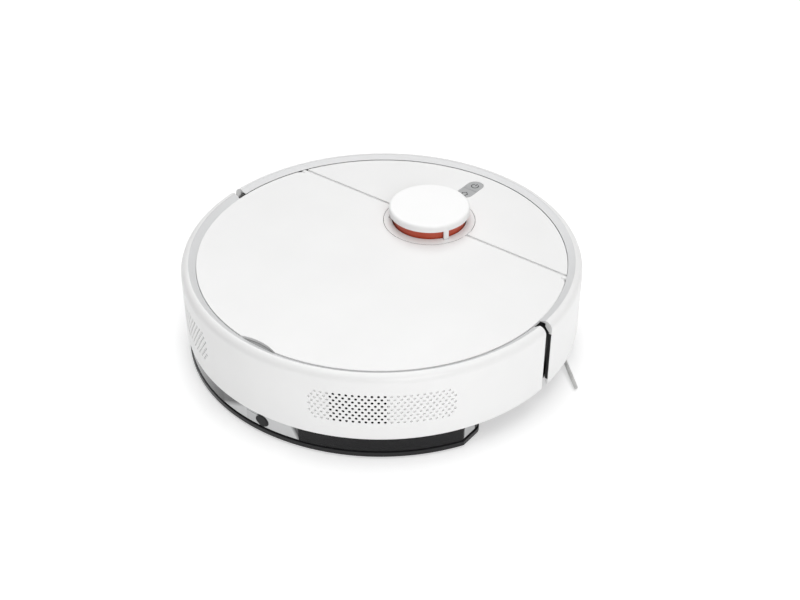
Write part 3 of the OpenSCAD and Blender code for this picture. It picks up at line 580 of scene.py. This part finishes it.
def mop_outline(inset):
    """Plan of the tank, shrunk all round: round behind, straight at both sides, round corners in front."""
    r, half, front = tank_r - inset, tank_half - inset, mop_front + inset
    corner_y = -front - CORNER_R
    side_az = math.degrees(math.acos(half / r))
    made = [(half, -math.sqrt(r * r - half * half)), (half, corner_y - CORNER_BACK)]
    made += arc_points(CORNER_R, 0, 90, 10, (half - CORNER_R, corner_y))
    made += arc_points(CORNER_R, 90, 180, 10, (-half + CORNER_R, corner_y))
    made += [(-half, corner_y - CORNER_BACK)]
    made += arc_points(r, side_az - 180, -side_az, 120)
    return made


def pale_end_reflection(made, rgb):
    """Painted reflection: lighter grey on the outer face of the module's left end, fading out along the
    curve.
    """
    fade = made.remap(made.azimuth(), math.radians(-149), math.radians(-101), 1.0, 0.0)
    outer = made.both(made.calc("GREATER_THAN", made.radius(), (tank_r - 1.2) * MM),
                      made.calc("GREATER_THAN", made.axis(2), 0.25 * MM))
    return made.tint(made.both(outer, fade), rgb)


def window_corner_shade(made, dark):
    """Paints shade on the window towards both upper corners, so that its clear part starts as a low wedge."""
    az = made.azimuth()
    high = made.calc("MULTIPLY", made.calc("SUBTRACT", made.axis(2), 9.0 * MM), 1.0 / (11.0 * MM))
    for start, width, rise, sign in ((WINDOW_AZ[0], 7.5, 1.0, 1.0), (WINDOW_AZ[1], 2.6, 0.6, -1.0)):
        past_start = made.calc("SUBTRACT", az, math.radians(start))
        along = made.calc("MULTIPLY", past_start, sign / math.radians(width))
        mask = made.calc("SUBTRACT", made.calc("MULTIPLY", high, rise), made.calc("SUBTRACT", along, 0.35))
        clamp = made.add("ShaderNodeClamp")
        made.link(made.calc("MULTIPLY", mask, 2.0), clamp.inputs[0])
        made.tint(clamp.outputs[0], dark)


pad_fabric = Finish("mop_microfibre", (0.055, 0.056, 0.060), 0.95, sheen=0.5).mottle(3.0, 0.35)
pad_fabric.bump(pad_fabric.noise(1.1, 3.0), 0.8, 0.35)
# painted reflection on the left end of the pad and of the plate
pale_end_reflection(pad_fabric, (0.30, 0.302, 0.306))
plate_black = Finish("plate_black", (0.014, 0.014, 0.015), 0.35, spec=0.25)
plate_black.mottle(12, 0.1).vary_rough(6, 0.06)
dress("mop_plate", pale_end_reflection(plate_black, (0.27, 0.272, 0.276)))
latch_clear = Finish("latch_clear", (0.50, 0.505, 0.51), 0.12, coat=0.4)
latch_clear.mottle(12, 0.03).vary_rough(6, 0.02)
dress("mop_latch", latch_clear)
boss_black = Finish("boss_black", (0.010, 0.010, 0.011), 0.35, spec=0.2)
boss_black.mottle(4, 0.2).vary_rough(3, 0.06)
end_glass = Finish("tank_end_window", (0.42, 0.425, 0.43), 0.12, coat=0.6)
end_glass.mottle(20, 0.04).vary_rough(8, 0.02)
window_glass = Finish("tank_window", (0.58, 0.585, 0.59), 0.10, coat=0.4)
window_glass.mottle(25, 0.03).vary_rough(10, 0.02)
# painted shade on the window's upper corners
window_corner_shade(window_glass, (0.045, 0.045, 0.047))
# painted reflection on the tank's left side: pale at the left end, fading to dark smoke towards the window
smoke_reflection = Finish("tank_smoke_painted_reflection", (0.27, 0.272, 0.276), 0.14, coat=0.2)
smoke_reflection.mottle(30, 0.03).vary_rough(14, 0.03)
reflection_fade = smoke_reflection.remap(smoke_reflection.azimuth(), math.radians(-149), math.radians(-103))
smoke_reflection.tint(reflection_fade, (0.040, 0.041, 0.043))

# each ring of the pad is an inset of the outline and a height: a flat sole, a sewn channel and a round side
pad = Shape()
pad.skin([[(x, y, z) for x, y in mop_outline(inset)] for inset, z in PAD_RINGS])
mop_pad = pad.make("mop_pad", pad_fabric, "mop_cloth", smooth=True, replaces=("mop_cloth",))

window = Shape()
window.hoop((face_r, face_r + GLASS), (glass_z0, glass_z1), *WINDOW_AZ, 60)
window.make("tank_window", window_glass, "water_tank")
reflection_side = Shape()
reflection_side.hoop((face_r, face_r + GLASS), (tank_z0 + 0.05, glass_z1), TANK_LEFT_AZ, WINDOW_AZ[0], 60)
reflection_side.make("tank_side_painted_reflection", smoke_reflection, "water_tank")

boss_turn = math.radians(BOSS_AZ)
boss_z = (tank_z0 + tank_z1) / 2 + 0.3
across = Vector((-math.sin(boss_turn), math.cos(boss_turn), 0.0))
outward = Vector((math.cos(boss_turn), math.sin(boss_turn), 0.0))
boss = Shape()
for r, depth in ((5.9, 0.55), (4.9, 0.95)):
    ring = [across * (BOSS_WIDE * r * math.cos(a)) + Vector((0, 0, boss_z + r * math.sin(a)))
            for a in full_turn(40)]
    boss.skin([[outward * reach + p for p in ring] for reach in (tank_r - 0.4, tank_r - 0.15 + depth)])
boss.make("tank_boss", boss_black, "water_tank", bevel=0.25)

tank_rear_y = -math.sqrt(tank_r ** 2 - tank_half ** 2)
end_front_y = -mop_front - 12.0
end_outline = [(tank_rear_y + 1.4, glass_z0 + 0.4), (end_front_y, glass_z0 + 0.4), (end_front_y, glass_z1)]
for degrees in (0, 22, 45, 67, 90):
    a = math.radians(degrees)
    end_outline.append((tank_rear_y + 4.2 - 2.8 * math.sin(a), glass_z1 - 3.4 + 3.4 * math.cos(a)))
for side, label in ((1, "right"), (-1, "left")):
    end_x = (side * (tank_half - 0.05), side * (tank_half + GLASS))
    end = Shape()
    end.skin([[(x, y, z) for y, z in end_outline[::side]] for x in end_x])
    end.make("tank_end_" + label, end_glass, "water_tank")

# ---------------------------------------------------------------- side brush

STRANDS = 44
STRAND_RADII = [0.30, 0.30, 0.29, 0.28, 0.26, 0.16]
GOLDEN_TURN = 2.39996
TUFT_START = 18.0
TUFT_Z = 6.4
COLLAR_START = 17.6
COLLAR_LENGTH = 4.2
COLLAR_R = 2.15

tuft_low, tuft_high = mm_box("side_brush_tufts")
hub_x, hub_y = (tuft_low[0] + tuft_high[0]) / 2, (tuft_low[1] + tuft_high[1]) / 2
half_span = math.hypot(tuft_high[0] - hub_x, tuft_high[1] - hub_y)
arm_az = math.atan2(tuft_low[1] - hub_y, tuft_high[0] - hub_x)
arms = [arm_az + math.pi * arm for arm in (0, 1)]


def strand(arm, s):
    """Points along one bristle of an arm; they droop and fan out towards the tip."""
    a = arms[arm]
    along = Vector((math.cos(a), math.sin(a), 0.0))
    side = Vector((-math.sin(a), math.cos(a), 0.0))
    root = 1.35 * math.sqrt((s + 0.5) / STRANDS)
    turn = GOLDEN_TURN * s
    reach = half_span - 1.6 - 1.6 * abs(wobble(s, arm))
    spread = 1.25 + 0.25 * wobble(s, 7 + arm)
    points = []
    for k in range(len(STRAND_RADII)):
        t = k / (len(STRAND_RADII) - 1)
        d = TUFT_START + (reach - TUFT_START) * t
        grow = 1.0 + (spread - 1.0) * t * t
        height = TUFT_Z - 4.0 * t * t + root * math.sin(turn) * (1.0 - 0.25 * t)
        points.append(Vector((hub_x, hub_y, 0.0)) + along * d + side * (root * math.cos(turn) * grow)
                      + Vector((0, 0, height)))
    return points


tufts = Shape()
for arm in (0, 1):
    for s in range(STRANDS):
        tufts.tube(strand(arm, s), STRAND_RADII, 5)
for a in arms:
    start = Vector((hub_x + COLLAR_START * math.cos(a), hub_y + COLLAR_START * math.sin(a), TUFT_Z))
    collar = [start, start + Vector((math.cos(a), math.sin(a), 0.0)) * COLLAR_LENGTH]
    tufts.tube(collar, [COLLAR_R, COLLAR_R], 16)
tufts.make("brush_bristles", bristle, "side_brush_tufts", smooth=True,
           replaces=("side_brush_tufts",))

# ---------------------------------------------------------------- main roller and filter

ROLLER_HALF = 78.0
CORE_R = 12.4
ROOT_R = 11.8
FLANGE_R = 15.5
FLANGE_WIDE = 2.2
VEE_LEAD = 38.0

roller_low, roller_high = mm_box("main_roller")
bearing_low, bearing_high = mm_box("roller_bearings")
roller_z = (bearing_low[2] + bearing_high[2]) / 2
blade_r = roller_high[2] - roller_z
pulley_x0 = mm_box("brush_belt")[0][0] - 0.6


def vee(x):
    """Angle by which a blade leads at x, so that the blades run in a wide V."""
    return math.radians(VEE_LEAD) * abs(x) / ROLLER_HALF


def polar(x, r, a):
    return (x, r * math.cos(a), roller_z + r * math.sin(a))


def spaced(margin, count):
    """Equal stations along the roller, starting margin from its ends."""
    return [-ROLLER_HALF + margin + (2 * ROLLER_HALF - 2 * margin) * k / (count - 1) for k in range(count)]


core_black = Finish("roller_core", (0.05, 0.05, 0.053), 0.5)
core_black.mottle(8, 0.1).vary_rough(4, 0.06).grain(0.5, 0.3, 0.04)
core = Shape()
for x0, x1, r in ((-ROLLER_HALF, ROLLER_HALF, CORE_R), (-ROLLER_HALF, -ROLLER_HALF + FLANGE_WIDE, FLANGE_R),
                  (ROLLER_HALF - FLANGE_WIDE, ROLLER_HALF, FLANGE_R), (roller_low[0], roller_high[0], 3.0),
                  (pulley_x0, pulley_x0 + 3.2, 9.0)):
    core.cylinder_x(x0, x1, r, roller_z)
core.make("roller_core", core_black, "main_roller", bevel=0.3, replaces=("main_roller",))

blades = Shape()
for degrees in (0, 120, 240):
    sections = []
    for x in spaced(2.4, 41):
        a = math.radians(degrees) + vee(x)
        sections.append([polar(x, ROOT_R, a - 0.13), polar(x, ROOT_R, a + 0.13), polar(x, 16.0, a + 0.065),
                         polar(x, blade_r - 0.1, a + 0.03), polar(x, blade_r - 0.1, a - 0.03),
                         polar(x, 16.0, a - 0.065)])
    blades.skin(sections, flip=True)
blades.make("roller_blades", brush_red, "main_roller")

row_bristle = Finish("roller_bristle", (0.05, 0.05, 0.052), 0.6).mottle(1.2, 0.3)
rows = Shape()
for row in (1, 3, 5):
    for k, x in enumerate(spaced(5.0, 45)):
        a = math.radians(60 * row) + vee(x)
        lean = 0.03 * wobble(k, row)
        rows.tube([polar(x, ROOT_R, a), polar(x, 18.0, a + lean * 0.4), polar(x, blade_r - 0.2, a + lean)],
                  [0.75, 0.95, 1.25], 7)
rows.make("roller_bristles", row_bristle, "main_roller")

FILTER_FRAME = 2.4
PAPER = 0.35
FOLDS = 40

(filter_x0, filter_y0, filter_z0), (filter_x1, filter_y1, filter_z1) = mm_box("bin_filter")
paper_z0, paper_z1 = filter_z0 + FILTER_FRAME, filter_z1 - FILTER_FRAME
folds = []
for k in range(FOLDS + 1):
    x = filter_x1 - 0.5 if k % 2 else filter_x0 + 1.2
    y = filter_y0 + FILTER_FRAME + (filter_y1 - filter_y0 - 2 * FILTER_FRAME) * k / FOLDS
    folds.append([(x, y, paper_z0), (x, y, paper_z1), (x - PAPER, y, paper_z1), (x - PAPER, y, paper_z0)])
paper = Shape()
paper.skin(folds, flip=True)
paper.make("filter_pleats", filter_paper, "bin_filter", replaces=("bin_filter",))

rim = Shape()
for (y0, z0), (y1, z1) in border_bars((filter_y0, filter_z0), (filter_y1, filter_z1), FILTER_FRAME, 0.0,
                                      FILTER_FRAME - 0.2):
    rim.box((filter_x0, y0, z0), (filter_x1, y1, z1))
rim.make("filter_frame", part_grey, "bin_filter")

# ---------------------------------------------------------------- underside

belly = mm_box("base_tray")[0][2]
screw_steel = Finish("screw_head", (0.30, 0.30, 0.31), 0.35, metal=1.0).mottle(1.5, 0.1).vary_rough(1.0, 0.1)


def belly_screw(shape, x, y, z, r):
    """A countersunk head seen from below: a disc with a raised edge and a sunk cross."""
    profile = [(0.0, z + 0.5), (r * 0.75, z + 0.5), (r * 0.75, z), (r, z + 0.1), (r, z + 1.0), (0.0, z + 1.0)]
    shape.revolve(profile, 24, (x, y))
    for w, h in ((r * 0.6, r * 0.14), (r * 0.14, r * 0.6)):
        shape.box((x - w, y - h, z + 0.25), (x + w, y + h, z + 0.75))


heads = Shape()
battery_low, battery_high = mm_box("battery_cover")
for x in (-battery_high[0] + 8, battery_high[0] - 8):
    for y in (battery_low[1] + 5.7, battery_high[1] - 5.7):
        belly_screw(heads, x, y, belly + 0.3, 2.3)
heads.make("battery_cover_screws", screw_steel, "battery_cover")

_, cover_y0, cover_z0 = mm_box("brush_cover")[0]
latches = Shape()
for x0, x1 in ((-52.0, -34.0), (34.0, 52.0)):
    latches.box((x0, cover_y0 + 1.2, cover_z0 - 0.9), (x1, cover_y0 + 7.0, cover_z0 + 0.6))
    for k in range(4):
        x = x0 + 4.0 + 3.4 * k
        latches.box((x - 0.5, cover_y0 + 2.0, cover_z0 - 1.4), (x + 0.5, cover_y0 + 6.2, cover_z0 - 0.8))
latches.make("brush_cover_latches", orange, "brush_cover", bevel=0.3)

wiper = Shape()
wiper.box((-74.0, cover_y0 + 8.4, cover_z0 - 4.2), (74.0, cover_y0 + 9.8, cover_z0 + 0.4))
wiper.make("brush_cover_wiper", tyre, "brush_cover", bevel=0.3)

hub_screw = Shape()
belly_screw(hub_screw, hub_x, hub_y, mm_box("side_brush_hub")[0][2] - 0.2, 3.0)
hub_screw.make("side_brush_screw", screw_steel, "side_brush_hub")

# each ridge is a y, and how far from the middle it starts and ends on both sides
ridges = Shape()
for y, near, far in ((38.0, 0.0, 84.0), (97.0, 30.0, 92.0), (-47.0, 0.0, 128.0)):
    for x0, x1 in ((-far, -near), (near, far)):
        ridges.box((x0, y - 0.6, belly - 0.5), (x1, y + 0.6, belly + 0.4))
ridges.make("belly_ridges", chassis_dark, "base_tray", bevel=0.3)

# ---------------------------------------------------------------- under the lid

LAMP_PLACE = (96.0, -28.0)
DECK_SCREWS = ((118.0, -20.0), (-118.0, -20.0), (96.0, -104.0), (-96.0, -104.0), (112.0, 30.0),
               (-112.0, 30.0))
RIB_REACH = 150.0
RIB_HALF = 0.6

(bin_x0, bin_y0, _), (bin_x1, bin_y1, bin_top) = mm_box("dust_bin")
deck_top = mm_box("button_board")[0][2]
lid_under = mm_box("front_cover")[0][2]

grip = Shape()
grip_y = (bin_y0 + bin_y1) / 2
grip_path = [(-24.0, -0.6), (-23.0, 1.0), (-19.0, 2.0), (19.0, 2.0), (23.0, 1.0), (24.0, -0.6)]
grip.tube([(x, grip_y, bin_top + rise) for x, rise in grip_path], [1.6] * len(grip_path), 12)
grip.make("bin_grip", orange, "dust_bin", smooth=True)

edge = Shape()
for a, b in border_bars((bin_x0 + 0.2, bin_y0 + 0.2), (bin_x1 - 0.2, bin_y1 - 0.2), 2.4, 7.8, 7.8):
    edge.box((*a, bin_top - 0.2), (*b, bin_top + 0.8))
edge.make("bin_rim", chassis_dark, "dust_bin", bevel=0.3)

catch = Shape()
catch.box((-9.0, bin_y0 + 4.0, bin_top - 0.2), (9.0, bin_y0 + 11.0, bin_top + 1.4))
for k in range(4):
    catch.box((-6.5, bin_y0 + 5.0 + 1.5 * k, bin_top + 1.3), (6.5, bin_y0 + 5.6 + 1.5 * k, bin_top + 1.8))
catch.make("bin_catch", orange, "dust_bin", bevel=0.3)

tool_y = bin_y1 + 12.0
tool = Shape()
tool.box((-52.0, tool_y - 3.2, deck_top - 0.2), (44.0, tool_y + 3.2, deck_top + 1.6))
tool.make("cleaning_tool", part_grey, "mid_deck", bevel=0.6)
tool_hairs = Shape()
for k in range(26):
    x = 46.0 + 0.55 * k
    ends = [(x, tool_y + y + 0.2 * wobble(k, j), deck_top + 0.8) for j, y in enumerate((-2.8, 2.8))]
    tool_hairs.tube(ends, [0.24, 0.24], 5)
tool_hairs.make("cleaning_tool_bristles", bristle, "mid_deck", smooth=True)

gasket = Shape()
for a, b in border_bars((bin_x0 - 6.4, bin_y0 - 7.4), (bin_x1 + 6.4, bin_y1 + 5.6), 2.0, 0.0, 1.8):
    gasket.box((*a, deck_top - 0.2), (*b, deck_top + 1.0))
gasket.make("bin_gasket", belt, "mid_deck", bevel=0.4)


def button_head(shape, place, r, r_top, shoulder, height, steps):
    """A low round head on the deck, sloping in from its shoulder."""
    profile = [(0.0, -0.1), (r, -0.1), (r, shoulder), (r_top, height), (0.0, height)]
    shape.revolve([(edge_r, deck_top + rise) for edge_r, rise in profile], steps, place)


lamp = Shape()
button_head(lamp, LAMP_PLACE, 2.0, 1.4, 0.5, 0.9, 28)
lamp.make("deck_lamp", rim_grey, "mid_deck", smooth=True)
deck_heads = Shape()
for place in DECK_SCREWS:
    button_head(deck_heads, place, 2.7, 2.2, 0.3, 0.8, 24)
deck_heads.make("deck_screws", screw_steel, "mid_deck")

rib_z0, rib_z1 = lid_under - 0.9, lid_under + 0.3
ribs = Shape()
for x in (-110, -70, -30, 30, 70, 110):
    ribs.box((x - RIB_HALF, -math.sqrt(RIB_REACH ** 2 - x * x), rib_z0), (x + RIB_HALF, 22.0, rib_z1))
for y in (-120, -80, -40, 0):
    reach = math.sqrt(RIB_REACH ** 2 - y * y)
    ribs.box((-reach, y - RIB_HALF, rib_z0), (reach, y + RIB_HALF, rib_z1))
ribs.make("lid_ribs", shell, "lid", bevel=0.2)
seal = Shape()
seal.hoop((153.0, 155.0), (lid_under - 1.0, lid_under + 0.3), 180 - 4, 360 + 4, 120)
seal.make("lid_seal", rim_grey, "lid", bevel=0.3)
